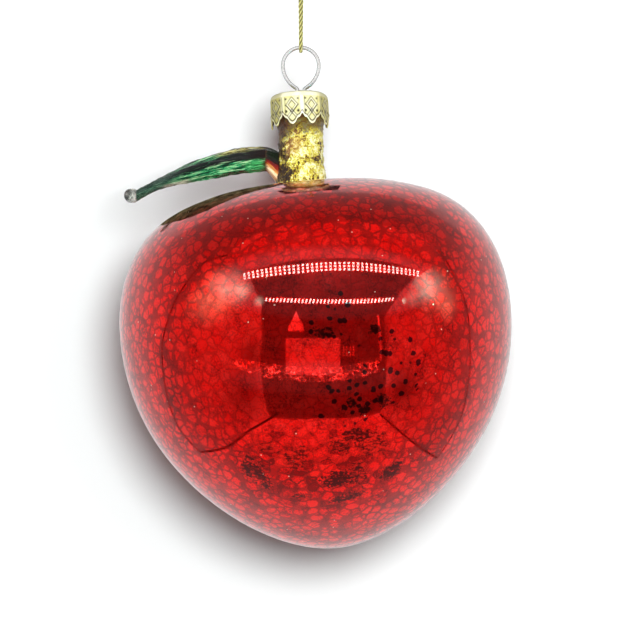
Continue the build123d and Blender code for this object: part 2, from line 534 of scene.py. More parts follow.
def evened(points, spacing):
    """The same line with its points evenly spaced."""
    ways = [0.0]
    for a, b in zip(points, points[1:]):
        ways.append(ways[-1] + (Vector(b) - Vector(a)).length)
    count = max(2, round(ways[-1] / spacing))
    places = np.linspace(0, ways[-1], count + 1)
    columns = [np.interp(places, ways, [p[k] for p in points]) for k in range(3)]
    return [Vector(c) for c in zip(*columns)]


def strand_rings(path):
    """Rings of one strand along its path, fluted by its filaments, which run round it."""
    rings = []
    for i, (p, side, up) in enumerate(carried_frames(path)):
        lay = FILAMENT_LAY * STRAND_STEP * i
        ring = []
        for k in range(STRAND_SIDES):
            angle = TURN * k / STRAND_SIDES
            flute = (1 - FILAMENT_DEPTH) + FILAMENT_DEPTH * math.cos(FILAMENTS * angle)
            out = side * math.cos(angle + lay) + up * math.sin(angle + lay)
            ring.append(tuple(p + out * (THREAD_RADIUS * STRAND_SHARE * flute)))
        rings.append(ring)
    return rings


def strand_shades(frames, rings):
    """How light each vertex of a strand is painted: painted shade between the strands and between
    its filaments.
    """
    shades = []
    for (middle, _, _), ring in zip(frames, rings):
        for k, spot in enumerate(ring):
            away = (Vector(spot) - middle).length / THREAD_RADIUS
            outward = held((away - STRAND_SHADE_LOW) / STRAND_SHADE_RISE)
            filament = math.cos(FILAMENTS * TURN * k / STRAND_SIDES)
            shades.append(outward * (0.75 + 0.25 * filament))
    return shades + [0.0, 0.0]


def laid_yarn(lines):
    """The skin of twisted strands along each line, and its shades."""
    vertices, faces, fibre = [], [], []
    for line in lines:
        frames = carried_frames(evened(line, STRAND_STEP))
        for s in range(STRANDS):
            path = []
            for i, (p, across, up) in enumerate(frames):
                angle = TURN * (s / STRANDS + STRAND_STEP * i / STRAND_PITCH)
                out = across * math.cos(angle) + up * math.sin(angle)
                path.append(p + out * (THREAD_RADIUS * STRAND_OFFSET))
            rings = strand_rings(path)
            new_vertices, new_faces = rings_mesh(rings)
            faces += [tuple(v + len(vertices) for v in f) for f in new_faces]
            vertices += new_vertices
            fibre += strand_shades(frames, rings)
    return (vertices, faces), {"fibre": fibre}


def make_thread(gold):
    line = centreline()
    skin, shades = laid_yarn([[p / MM for p in line]])
    piece = new_piece("thread", skin, gold, "thread", shades)
    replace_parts(piece, "hanging_thread")
    return piece, line


def make_knot(gold):
    """The thread tied round its own two ends, which stand out of the top."""
    middle = Vector((0, 0, KNOT_LOW / 2))
    loops = []
    for k in range(KNOT_STEPS + 1):
        t = TURN * k / KNOT_STEPS
        x = math.sin(t) + 2 * math.sin(2 * t)
        y = math.cos(t) - 2 * math.cos(2 * t)
        z = -math.sin(3 * t) * KNOT_RISE
        loops.append(middle + Vector((x * KNOT_WIDTH, y * KNOT_WIDTH, z)))
    tails = []
    for side in (-1, 1):
        stops = [
            (0, side * TURN_RADIUS, KNOT_LOW - 0.02),
            (0, side * 0.5, -1.9),
            (side * 0.35, side * 0.2, -1.1),
            (side * 1.0, side * 0.1, -0.45),
            (side * 1.72, 0, 0.22),
        ]
        tail = along_points(stops)
        tails.append([Vector(tail(i / TAIL_STEPS)) for i in range(TAIL_STEPS + 1)])
    skin, shades = laid_yarn([loops, *tails])
    piece = new_piece("thread_tie", skin, gold, "knot", shades)
    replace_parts(piece, "thread_knot")
    return piece


# Bulb


def bulb_outline():
    """(radius, height) from the dimple's floor down to the bottom, in millimetres."""
    points = [(DIMPLE_RADIUS, BULB_CROWN - DIMPLE_DEPTH)]
    points += [(BULB_RADIUS * r, BULB_CROWN * z) for r, z in CROWN_SHARES]
    points += [(BULB_RADIUS * r, -BULB_DEPTH * z) for r, z in BASE_SHARES]
    return points


def inset(points, distance):
    """The outline moved inwards by the glass's thickness."""
    moved = [(points[0][0], points[0][1] - distance)]
    for before, here, after in zip(points, points[1:], points[2:]):
        along = Vector(after) - Vector(before)
        inwards = Vector((along.y, -along.x)).normalized()
        moved.append(tuple(Vector(here) + inwards * distance))
    moved.append((points[-1][0], points[-1][1] + distance))
    return moved


def bulb_profile():
    """The wall's section in shares of radius and height: up the inside, and down the outside."""
    level_ends = ((1, 0), (-1, 0))
    outside = along_points(bulb_outline(), level_ends)
    inside = along_points(inset(bulb_outline(), BULB_WALL), level_ends)
    points = [tuple(inside(1 - i / INSIDE_STEPS)) for i in range(INSIDE_STEPS + 1)]
    points.append((BORE_RADIUS, BULB_CROWN - DIMPLE_DEPTH - BULB_WALL))
    points.append((BORE_RADIUS, BULB_CROWN - DIMPLE_DEPTH))
    points += [tuple(outside(i / OUTSIDE_STEPS)) for i in range(OUTSIDE_STEPS + 1)]
    shares = []
    for r, z in points:
        shares.append((max(r, 0) / BULB_RADIUS, 0, z / (BULB_CROWN if z > 0 else BULB_DEPTH)))
    return shares


def input_socket(tree, name, kind):
    return tree.interface.new_socket(name, in_out="INPUT", socket_type=kind).identifier


def bulb_tree():
    """Blows the bulb: the wall's section turned about its axis, leaned and set under the stem."""
    tree = bpy.data.node_groups.new("blown_bulb", "GeometryNodeTree")
    bench = Bench(tree)
    input_socket(tree, "Section", "NodeSocketGeometry")
    names = {}
    for name in ("Radius", "Crown", "Depth", "Lean", "Shift", "Shoulder"):
        names[name] = input_socket(tree, name, "NodeSocketFloat")
    for name in ("Segments", "Rings"):
        names[name] = input_socket(tree, name, "NodeSocketInt")
    names["Glass"] = input_socket(tree, "Glass", "NodeSocketMaterial")
    tree.interface.new_socket("Bulb", in_out="OUTPUT", socket_type="NodeSocketGeometry")
    given = bench.node("NodeGroupInput", out="Section")
    section = bench.node("GeometryNodeMeshToCurve", sockets={"Mesh": given})
    sheet_size = {
        "Size X": 1.0,
        "Size Y": 1.0,
        "Vertices X": given.output("Segments"),
        "Vertices Y": given.output("Rings"),
    }
    sheet = bench.node("GeometryNodeMeshGrid", sockets=sheet_size)
    across, down, _ = bench.split(bench.node("GeometryNodeInputPosition"))
    sampled = {"Curves": section, "Factor": down + 0.5}
    sample = bench.node("GeometryNodeSampleCurve", {"mode": "FACTOR"}, sampled, "Position")
    reach, _, height = bench.split(sample)
    radius = reach * given.output("Radius")
    depth = given.output("Depth")
    level = height * (depth + (height > 0.0) * (given.output("Crown") - depth))
    angle = (across + 0.5) * TURN
    x = radius * bench.math("COSINE", angle)
    y = radius * bench.math("SINE", angle)
    turned = {"Geometry": sheet, "Position": bench.join(x, y, level)}
    blown = bench.node("GeometryNodeSetPosition", sockets=turned)
    welded = {"Geometry": blown, "Distance": WELD}
    closed = bench.node("GeometryNodeMergeByDistance", sockets=welded)
    drop = bench.join(0.0, 0.0, 0.0 - given.output("Crown"))
    lowered = bench.node("GeometryNodeTransform", sockets={"Geometry": closed, "Translation": drop})
    hung = {
        "Geometry": lowered,
        "Rotation": bench.join(0.0, given.output("Lean"), 0.0),
        "Translation": bench.join(given.output("Shift"), 0.0, given.output("Shoulder")),
    }
    leaned = bench.node("GeometryNodeTransform", sockets=hung)
    smooth = bench.node("GeometryNodeSetShadeSmooth", sockets={"Geometry": leaned})
    whole = bench.node("GeometryNodeRealizeInstances", sockets={"Geometry": smooth})
    glass = {"Geometry": whole, "Material": given.output("Glass")}
    glazed = bench.node("GeometryNodeSetMaterial", sockets=glass)
    bench.node("NodeGroupOutput", sockets={"Bulb": glazed})
    return tree, names


def make_bulb(glass):
    shares = bulb_profile()
    section = bpy.data.meshes.new("bulb_section")
    section.from_pydata(shares, [(i, i + 1) for i in range(len(shares) - 1)], [])
    former = made_object("bulb_former", section)
    tree, names = bulb_tree()
    blow = former.modifiers.new("blow", "NODES")
    blow.node_group = tree
    sizes = {
        "Radius": BULB_RADIUS * MM,
        "Crown": BULB_CROWN * MM,
        "Depth": BULB_DEPTH * MM,
        "Lean": math.radians(BULB_LEAN),
        "Shift": BULB_SHIFT * MM,
        "Shoulder": SHOULDER * MM,
        "Segments": BULB_SEGMENTS,
        "Rings": BULB_RINGS,
        "Glass": glass,
    }
    for name, value in sizes.items():
        blow[names[name]] = value
    bpy.context.view_layer.update()
    depsgraph = bpy.context.evaluated_depsgraph_get()
    mesh = bpy.data.meshes.new_from_object(former.evaluated_get(depsgraph))
    bpy.data.objects.remove(former)
    mesh.name = "apple"
    piece = made_object("apple", mesh)
    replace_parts(settle(piece, "glass"), "glass_apple")


# The apple's red glass

ISLAND_SCALE = 0.50     # islands of the crackle for each millimetre
DOT_SCALE = 0.62
FRONT_FADE = (-12.0, -4.0)  # along Y, where wear that only the front has ends
ISLAND_RED = (0.93, 0.004, 0.002)
ISLAND_SCARLET = (1.0, 0.013, 0.008)
SHADED_RED = (0.28, 0.001, 0.001)
GAP_IN_FRONT = (0.10, 0.003, 0.002)
GAP_AT_THE_SIDES = (0.19, 0.005, 0.004)
WORN_DARK = (0.075, 0.001, 0.001)
WORN_BRIGHT = (0.85, 0.012, 0.006)
BARE_GLASS = (0.030, 0.0, 0.002)
DUST = (1.0, 0.60, 0.48)

# Places where the lining is thin, seen from the front: x, z, half sizes, turn and darkness
WORN_PATCHES = (
    (-7.5, -101.6, 4.4, 1.9, -50, 0.85),
    (0.8, -106.2, 2.2, 1.1, -5, 0.55),
    (7.0, -102.4, 2.7, 1.7, 10, 0.97),
    (10.9, -101.1, 1.8, 2.3, 0, 0.70),
    (16.6, -101.4, 3.0, 1.5, 38, 0.90),
    (9.1, -106.3, 3.9, 0.9, 18, 0.85),
    (-0.5, -98.1, 3.4, 2.6, 0, 0.50),
    (7.5, -95.9, 2.1, 1.7, 0, 0.62),
    (10.7, -94.1, 3.2, 1.4, 0, 0.72),
    (13.2, -95.6, 3.1, 3.0, 0, 0.50),
    (-5.3, -96.3, 1.7, 1.4, 0, 0.45),
    (4.2, -75.8, 2.0, 1.0, 5, 0.75),
    (15.3, -88.0, 1.3, 1.6, 0, 0.72),
    (12.0, -89.3, 1.5, 0.8, 10, 0.95),
    (9.6, -88.2, 1.2, 0.8, -20, 0.85),
    (13.4, -75.2, 1.1, 0.9, 30, 0.95),
)
# Where the lining has dots without silver: middle, full up to, none from, crowding
DOT_FIELDS = (
    ((16.0, -37.0, -81.5), 3.0, 11.0, 1.0),
    ((6.5, -40.0, -74.5), 1.0, 9.0, 0.75),
    ((8.0, -37.5, -88.5), 1.0, 9.0, 0.7),
)
# Bands on the belly where the clear glass is best polished: middle, half width, half height
POLISHED_BELLY = ((5.5, 0.0, -67.2), 21.5, 6.8)
POLISHED_BELOW = ((3.5, 0.0, -83.8), 17.0, 3.2)


def crackle_islands(finish, place, drift, fine, outer):
    """The crackled lining: its tone, its dark gaps, its relief and its roughness."""
    quiver = finish.noise(place, 2.6, 2.0).output("Color")
    bent = finish.warp(finish.warp(place, drift, 1.2), quiver, 0.40)
    edge = finish.cells(bent, ISLAND_SCALE, "DISTANCE_TO_EDGE")
    away = finish.cells(bent, ISLAND_SCALE)
    own_a, own_b, own_c = finish.split(finish.cells(bent, ISLAND_SCALE, out="Color"))
    wear = finish.noise(place, 0.16, 3.0, 0.6)
    cloud = finish.noise(place, 0.30, 4.0, 0.65)
    grain = finish.noise(place, 3.6, 3.0, 0.75)
    width = 0.005 + 0.06 * outer * own_c + 0.10 * (wear - 0.45)
    gap = 1 - (edge + fine.sway(0.16) - width).step(0.0, 0.10)
    round_gap = (away + fine.sway(0.25)).step(0.48, 0.66) * (0.10 + 0.90 * outer)
    gap = finish.math("MAXIMUM", gap, round_gap)
    gap = gap * (0.34 + 0.66 * outer) * (0.56 + 0.9 * (wear - 0.25))
    flat = finish.vector("MULTIPLY", place, (0.6, 0.0, 1.0))
    lower = finish.near(flat, (2.0, 0.0, -101.0), 5.0, 12.0)
    shade = (0.10 + 0.20 * outer) * own_b + cloud.sway(2.6) + fine.sway(1.4)
    shade = shade + grain.sway(3.0 - 1.2 * outer) + 0.75 * lower * own_b.step(0.40, 0.75)
    red = finish.blend(own_a, ISLAND_RED, ISLAND_SCARLET)
    red = finish.blend(shade, red, SHADED_RED)
    tone = finish.blend(0.85 * gap, red, finish.blend(outer, GAP_IN_FRONT, GAP_AT_THE_SIDES))
    relief = 0.30 * edge.step(0.0, 0.20) + 0.25 * fine
    rough = 0.052 + (0.02 + 0.08 * outer) * own_c * own_b + 0.12 * gap
    return tone, gap, relief, rough


def worn_lining(finish, place, seen, front, fine, tone):
    """Thin places, where the silver has come off and the dark inside shows."""
    ragged = finish.noise(place, 0.50, 5.0, 0.75).sway(3.0) + fine.sway(0.8)
    worn = 0.0
    for x, z, wide, tall, turn, depth in WORN_PATCHES:
        fitted = {
            "Vector": seen,
            "Location": (x, 0, z),
            "Rotation": (0, math.radians(-turn), 0),
            "Scale": (wide, 1, tall),
        }
        spot = finish.node("ShaderNodeMapping", {"vector_type": "TEXTURE"}, fitted)
        patch = 1 - (finish.vector("LENGTH", spot) + ragged).step(0.60, 1.20)
        worn = finish.math("MAXIMUM", worn, depth * patch)
    worn = worn * front
    scratch = finish.noise(finish.vector("MULTIPLY", place, (1.0, 1.0, 1.8)), 0.9, 4.0, 0.7)
    torn = (scratch.sway(2.4) + fine.sway(1.2) + 0.75 - 0.75 * worn).step(0.0, 0.8)
    inside = finish.blend(torn, WORN_DARK, WORN_BRIGHT)
    return finish.blend(worn.step(0.10, 0.55), tone, inside)


def bare_dots(finish, place, drift, fine, tone):
    """Round dots without silver, crowded to the right of the belly."""
    crowd = 0.0
    for middle, full, end, share in DOT_FIELDS:
        crowd = finish.math("MAXIMUM", crowd, share * finish.near(place, middle, full, end))
    spread = finish.warp(place, drift, 0.7)
    dot = 1 - (finish.cells(spread, DOT_SCALE) + fine.sway(0.14)).step(0.26, 0.36)
    chosen, _, _ = finish.split(finish.cells(spread, DOT_SCALE, out="Color"))
    return finish.blend(0.92 * (dot * ((crowd + 0.5 * chosen) > 0.70)), tone, BARE_GLASS)


def crackle_glass():
    """Red lacquer over silver that has crackled into small round islands, under clear glass."""
    finish = Finish("red_crackle_glass")
    place = finish.place()
    across, deep, up = finish.split(place)
    seen = finish.join(across, 0.0, up)
    front = 1 - deep.step(*FRONT_FADE)
    drift = finish.noise(place, 0.8, 3.0).output("Color")
    fine = finish.noise(place, 2.4, 3.0, 0.65)
    # the islands lie close together in front and farther apart towards the sides
    outer = finish.reach(place, (4.0, -40.0, -80.0), (0.95, 0.8, 1.15)).step(12.0, 30.0)
    tone, gap, relief, rough = crackle_islands(finish, place, drift, fine, outer)
    tone = worn_lining(finish, place, seen, front, fine, tone)
    tone = bare_dots(finish, place, drift, fine, tone)
    fleck = 1 - finish.cells(place, 0.30).step(0.030, 0.055)
    tone = finish.blend(0.8 * fleck, tone, DUST)
    middle, wide, tall = POLISHED_BELLY
    belly = finish.reach(seen, middle, (1 / wide, 1.0, 1 / tall))
    polished = (1 - belly.step(0.75, 1.05)) * front
    tone = finish.blend(0.7 * polished, tone, finish.vector("MULTIPLY", tone, (1.0, 0.2, 0.2)))
    middle, wide, tall = POLISHED_BELOW
    below = finish.reach(seen, middle, (1 / wide, 1.0, 1 / tall))
    polished = polished + 0.5 * (1 - below.step(0.6, 1.1)) * front
    facing = finish.node("ShaderNodeLayerWeight", sockets={"Blend": 0.5}, out="Facing")
    return finish.surface(
        {
            "Base Color": tone,
            "Metallic": 1 - 0.06 * gap * outer,
            "Roughness": rough + 0.25 * fleck,
            "Specular IOR Level": 0.2,
            "Coat Weight": 0.08 + 0.38 * facing.step(0.20, 0.60) + 0.75 * polished,
            "Coat Roughness": 0.008,
            "Coat IOR": 1.5,
            "Normal": finish.bump(relief, 0.000004),
        }
    )


# Stem

FOIL_TONES = [
    (0.36, (0.020, 0.008, 0.003)),
    (0.42, (0.16, 0.075, 0.012)),
    (0.46, (0.48, 0.33, 0.03)),
    (0.51, (0.78, 0.70, 0.03)),
    (0.565, (0.95, 0.95, 0.16)),
    (0.64, (1.0, 1.0, 0.66)),
]
THIN_FOIL = (-1.2, -4.7, -38.0)


def foil_glass():
    """Gold foil on amber glass: lemon gold, amber where it is thin and brown where it is torn, with
    painted shade on its left side and a painted shadow under the cap.
    """
    finish = Finish("gold_foil_glass")
    place = finish.place()
    x, _, z = finish.split(place)
    bent = finish.warp(place, finish.noise(place, 0.7, 3.0).output("Color"), 2.5)
    torn = finish.noise(bent, 0.42, 4.0, 0.6)
    flake = finish.noise(bent, 1.7, 4.0, 0.7)
    crumb = finish.noise(place, 4.5, 3.0, 0.7)
    share = 0.535 + torn.sway(0.75) + flake.sway(1.05) + crumb.sway(0.50)
    # painted shade: the foil is darker towards its left side
    painted_left_shade = 1 - (x + torn.sway(6.0)).step(-4.0, -1.9)
    share = share - 0.22 * painted_left_shade * (0.2 + 1.6 * flake)
    tone = finish.ramp(share, FOIL_TONES)
    thin = 1 - (finish.vector("DISTANCE", place, THIN_FOIL) + torn.sway(7.0)).step(0.4, 3.2)
    amber = finish.blend(flake.step(0.42, 0.62), (0.40, 0.16, 0.03), (0.86, 0.58, 0.22))
    tone = finish.blend(0.6 * thin, tone, amber)
    # painted shadow: dark brown just under the cap
    painted_cap_shadow = (z + torn.sway(9.0) + flake.sway(5.0) - 0.12 * x).step(-35.6, -34.2)
    tone = finish.blend(0.85 * painted_cap_shadow, tone, (0.09, 0.030, 0.008))
    base = 1 - (z + flake.sway(1.6)).step(SHOULDER - 0.6, SHOULDER + 1.2)
    fused = finish.blend(crumb.step(0.4, 0.6), (0.50, 0.025, 0.006), (0.92, 0.62, 0.12))
    tone = finish.blend(0.8 * base, tone, fused)
    foil = share.step(0.43, 0.52)
    return finish.surface(
        {
            "Base Color": tone,
            "Metallic": 0.05 + 0.15 * foil,
            "Roughness": 0.40 - 0.16 * foil,
            "Coat Weight": 0.4,
            "Coat Roughness": 0.05,
            "Normal": finish.bump(0.6 * flake + 0.5 * crumb + 0.3 * torn, 0.0004),
        }
    )


def foil_lump(point):
    """How far the foil stands out at a point."""
    wide = noise.noise(point * 0.42)
    crumpled = noise.turbulence(point * 0.9, 3, True)
    return 0.22 * wide + 0.34 * (crumpled - 0.45)


def make_stem(glass):
    rise = RIM - SHOULDER
    outside = along_points([(STEM_RADIUS * r, SHOULDER + rise * z) for r, z in STEM_SHARES])
    outline = [tuple(outside(i / STEM_STEPS)) for i in range(STEM_STEPS + 1)]
    foot = outline[0][1]
    bore = [(BORE_RADIUS, RIM + (foot - RIM) * i / BORE_STEPS) for i in range(BORE_STEPS + 1)]
    rings = []
    for j, (r, z) in enumerate(outline + bore):
        ring = []
        level = Vector((0, 0, z))
        for i in range(STEM_SIDES):
            angle = TURN * i / STEM_SIDES
            out = Vector((math.cos(angle), math.sin(angle), 0))
            push = 0.0
            if j < len(outline):
                push = min(1.0, (RIM - z) / FOIL_FADE) * foil_lump(out * r + level)
            ring.append(tuple(out * (r + push) + level))
        rings.append(ring)
    # the skin closes on its own first ring
    vertices, faces = rings_mesh(rings + [rings[0]], False, False)
    count = len(rings) * STEM_SIDES
    skin = vertices[:count], [tuple(v % count for v in f) for f in faces]
    piece = new_piece("stem", skin, glass, "glass")
    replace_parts(piece, "glass_stem")


# Cap


def shaded_cap_inside():
    """The cap's inside: the cap's metal painted near black, as painted shade."""
    finish = Finish("shaded_cap_inside")
    place = finish.place()
    cloud = finish.noise(place, 0.7, 3.0)
    fine = finish.noise(place, 7.0, 2.0)
    tone = finish.blend(cloud.step(0.3, 0.7), (0.05, 0.028, 0.010), (0.16, 0.085, 0.03))
    return finish.surface({"Base Color": tone, "Metallic": 0.6, "Roughness": 0.45 + 0.2 * fine})


def champagne_metal():
    """Thin pressed metal with a pale gold wash, painted shade in its pressings and on its sides,
    and painted highlights on its creases, ridges and rim.
    """
    finish = Finish("cap_metal")
    place = finish.place()
    cloud = finish.noise(place, 0.7, 3.0)
    fine = finish.noise(place, 7.0, 2.0)
    x, _, _ = finish.split(place)
    tone = finish.blend(cloud.step(0.3, 0.7), (0.76, 0.72, 0.30), (0.94, 0.92, 0.58))
    # painted shade: the panels towards the sides are darker olive
    side = finish.math("ABSOLUTE", x + 0.2).step(3.0, 4.6)
    shaded_olive = finish.blend(fine, (0.30, 0.26, 0.03), (0.62, 0.56, 0.12))
    tone = finish.blend(0.8 * side, tone, shaded_olive)
    # painted highlight on the creases, ridges and rim, dimmer on the sides
    shine = finish.attribute("shine") * (1 - 0.45 * side)
    tone = finish.blend(shine, tone, (1.0, 1.0, 0.88))
    # painted shade in the pressings, kept on the vertices
    tone = finish.blend(0.97 * finish.attribute("pressed"), tone, (0.035, 0.026, 0.004))
    return finish.surface(
        {
            "Base Color": tone,
            "Metallic": 0.15,
            "Roughness": 0.24 + 0.10 * fine,
            "Normal": finish.bump(fine, 0.00002),
        }
    )


LOBE_CURVE = cubic(*zip(*EDGE_SHARES), ends=((0.0,), (0.0,)))


def skirt_low(angle):
    """Height of the cap's lobed edge at an angle round it."""
    turned = (angle + TURN / 4) / LOBE_PITCH
    drop = float(LOBE_CURVE(abs(turned - round(turned)))[0])
    return CAP_TOP - CAP_HEIGHT + LOBE_DROP * drop


def panel_angle(angle):
    """The angle from the middle of the panel that it is in."""
    turned = (angle + TURN / 4) / LOBE_PITCH
    return (turned - math.floor(turned) - 0.5) * LOBE_PITCH


def diamond(panel, rise):
    """(height, painted shade, painted highlight) that a pressed diamond and its four dots add on a
    panel.
    """
    edge = abs(panel) / DIAMOND_WIDTH + abs(rise) / DIAMOND_HEIGHT - 1
    height = 0.11 * hump(edge, 0, 0.11)
    # painted highlight along the raised outline
    shine = 0.8 * hump(edge, 0, 0.13)
    # painted shadow below each raised line, and painted shade in the four dots
    shadow = 1.15 if rise < 0 else 0.75
    painted_shade = shadow * hump(edge, 0.28, 0.16) + (1.9 - shadow) * 0.8 * hump(edge, -0.27, 0.15)
    for side in (-DOT_ACROSS, DOT_ACROSS):
        for up in (-DOT_UP, DOT_UP):
            far = math.hypot(panel - side, rise - up)
            height -= 0.12 * hump(far, 0, 0.17)
            painted_shade += hump(far, 0, 0.22)
    return height, painted_shade, shine


def pressing(angle, z, low):
    """(height, painted shade, painted highlight) of the skirt's ornament: diamonds, a beaded edge
    and the creases.
    """
    turned = (angle + TURN / 4) / LOBE_PITCH
    crease = (turned - round(turned)) * LOBE_PITCH * CAP_RADIUS
    front = round(turned) % CAP_LOBES == 0
    above = z - low
    field = held((above - 0.5) / 0.3)
    height = 0.14 * hump(above, 0.28, 0.17) + 0.10 * hump(crease, 0, 0.35)
    # painted highlight on each crease, full on the front one, and along the beaded edge
    shine = hump(crease, 0, 0.30, 4) * (1.0 if front else 0.2) + 0.8 * hump(above, 0.26, 0.16)
    # painted shade above the bead, beside the creases and in the creases at the sides
    painted_shade = 0.9 * hump(above, 0.62, 0.17)
    painted_shade += 0.7 * hump(abs(crease), 0.62, 0.10) * field * (0.4 if crease < 0 else 1.0)
    if not front:
        painted_shade += 0.6 * hump(crease, 0, 0.13)
    for level in DIAMOND_LEVELS:
        more = diamond(panel_angle(angle) * CAP_RADIUS, z - (CAP_TOP + level))
        height, painted_shade, shine = (a + field * b for a, b in zip((height, painted_shade, shine), more))
    return height, held(painted_shade), held(shine)


def make_cap(metal, inside):
    columns = CAP_LOBES * LOBE_COLUMNS
    flat = CAP_RADIUS - CAP_CORNER
    high = CAP_TOP - CAP_CORNER
    rings, painted_shades, highlights = [], [], []
    for j in range(1, TOP_ROWS + 1):
        r = flat * j / TOP_ROWS
        rings.append([(r, CAP_TOP - 0.10 * hump(r, GROOVE_RADIUS, 0.35))] * columns)
        # painted shade in the groove of the top
        painted_shades += [0.35 * hump(r, GROOVE_RADIUS, 0.25)] * columns
        # a painted highlight on the top
        highlights += [0.3] * columns
    for j in range(1, CORNER_ROWS + 1):
        bend = math.pi / 2 * j / CORNER_ROWS
        r = flat + CAP_CORNER * math.sin(bend)
        rings.append([(r, CAP_TOP - CAP_CORNER * (1 - math.cos(bend)))] * columns)
        painted_shades += [0.0] * columns
        # a brighter painted highlight on the rounded corner
        highlights += [0.45] * columns
    for j in range(1, SKIRT_ROWS + 1):
        ring = []
        for i in range(columns):
            angle = TURN * i / columns
            low = skirt_low(angle)
            z = high + (low - high) * j / SKIRT_ROWS
            push, painted_shade, shine = pressing(angle, z, low)
            fade = min(1.0, (high - z) / 0.4)
            ring.append((CAP_RADIUS + push * fade, z))
            painted_shades.append(painted_shade * fade)
            highlights.append(shine)
        rings.append(ring)
    placed = []
    for ring in rings:
        row = []
        for i, (r, z) in enumerate(ring):
            angle = TURN * i / columns
            facet = math.cos(LOBE_PITCH / 2) / math.cos(panel_angle(angle)) - 1
            r *= 1 + FACET_SHARE * facet * min(1.0, r / CAP_RADIUS) ** 4
            row.append((r * math.cos(angle + CAP_SPIN), r * math.sin(angle + CAP_SPIN), z))
        placed.append(row)
    vertices, faces = rings_mesh(placed, True, False)
    tilt = Matrix.Rotation(CAP_TILT, 3, "Y")
    pivot = Vector((0, 0, CAP_TOP))
    vertices = [tilt @ (Vector(v) - pivot) + pivot + Vector(CAP_SHIFT) for v in vertices]
    # painted shade and painted highlights, on the vertices
    marks = {"pressed": painted_shades + [0.0], "shine": highlights + [0.3]}
    piece = new_piece("cap", (vertices, faces), metal, "cap", marks)
    piece.data.materials.append(inside)
    gauge = piece.modifiers.new("gauge", "SOLIDIFY")
    gauge.thickness = CAP_GAUGE * MM * GAUGE_SHARE
    gauge.offset = -1
    gauge.material_offset = 1
    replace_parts(piece, "crown_cap")


# Wire


def spring_wire():
    """Drawn steel wire. Its dark edge tint draws the thin outline that polished wire has."""
    finish = Finish("steel_wire")
    drawn = finish.noise(finish.place(), 5.0, 3.0, 0.6)
    tone = finish.blend(drawn.step(0.3, 0.7), (0.66, 0.66, 0.65), (0.92, 0.92, 0.90))
    return finish.surface(
        {
            "Base Color": tone,
            "Metallic": 1.0,
            "Roughness": 0.14 + 0.10 * drawn,
            "Specular Tint": (0.12, 0.12, 0.12, 1.0),
            "Normal": finish.bump(drawn, 0.00001),
        }
    )


def dress_wire(metal):
    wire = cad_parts["wire_hanger"]
    wire.data.materials.clear()
    wire.data.materials.append(metal)


# Leaf

LEAF_TONES = [
    (0.30, (0.001, 0.006, 0.004)),
    (0.42, (0.002, 0.022, 0.010)),
    (0.54, (0.004, 0.095, 0.036)),
    (0.66, (0.012, 0.27, 0.085)),
    (0.80, (0.10, 0.50, 0.18)),
    (0.95, (0.55, 0.82, 0.50)),
]
ROOT_TONES = [
    (0.30, (0.006, 0.012, 0.006)),
    (0.44, (0.012, 0.003, 0.003)),
    (0.52, (0.18, 0.004, 0.004)),
    (0.61, (0.30, 0.03, 0.010)),
    (0.69, (0.62, 0.27, 0.06)),
    (0.80, (0.92, 0.72, 0.44)),
    (0.97, (0.50, 0.24, 0.07)),
]
# Droop, width and thickness shares, as a function of the way along the blade
LEAF_CURVES = cubic([row[0] for row in LEAF_SHARES], [row[1:] for row in LEAF_SHARES])


def leaf_groove(angle, along):
    """Depth of the pulled glass's grooves, as a share of the section's radius."""
    twist = 1.2 * along + 3.5 * max(0.0, along - 0.62) ** 2 * 9
    across, up = math.cos(angle), math.sin(angle)
    wander = 0.6 * noise.noise(Vector((along * 5, across * 1.3, up * 1.3)))
    ribs = math.cos(7 * (angle + twist) + 4 * wander)
    ribs += 0.5 * math.cos(17 * (angle + twist) + 9 * wander)
    fine = noise.noise(Vector((along * 22, across * 5, up * 5)))
    return 0.05 * ribs + 0.06 * fine


def leaf_ring(along, count, grooved=True):
    """One section across the blade."""
    droop, width, thick = LEAF_CURVES(along)
    x = -LEAF_REACH - LEAF_LENGTH * along
    z = LEAF_HEIGHT - LEAF_DROOP * droop
    ring = []
    for k in range(count):
        angle = TURN * k / count
        groove = leaf_groove(angle, along) if grooved else 0.0
        a = (LEAF_WIDTH * width / 2) * math.cos(angle) * (1 + groove)
        b = (LEAF_THICKNESS * thick / 2) * math.sin(angle) * (1 + groove)
        y = a * math.cos(LEAF_ROLL) - b * math.sin(LEAF_ROLL)
        up = a * math.sin(LEAF_ROLL) + b * math.cos(LEAF_ROLL)
        ring.append((x, y, z + up))
    return ring


def ring_marks(rows):
    """The way along and the two parts of the angle round, for each vertex of a skin of rings."""
    rounds = [TURN * k / LEAF_SIDES for k in range(LEAF_SIDES)]
    ways = [j / (rows - 1) for j in range(rows)]
    return {
        "along": [way for way in ways for _ in rounds] + [0.0, 1.0],
        "round_cos": [math.cos(angle) for angle in rounds] * rows + [0.0, 0.0],
        "round_sin": [math.sin(angle) for angle in rounds] * rows + [0.0, 0.0],
    }


def make_leaf(green):
    rings = [leaf_ring(j / (LEAF_ROWS - 1), LEAF_SIDES) for j in range(LEAF_ROWS)]
    marks = ring_marks(LEAF_ROWS)
    piece = new_piece("leaf", rings_mesh(rings), green, "glass", marks)
    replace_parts(piece, "leaf_blade")


def side_at(across, up, degrees):
    """1 on the side of the skin at an angle round it, -1 on the other side."""
    turn = math.radians(degrees)
    return math.cos(turn) * across + math.sin(turn) * up


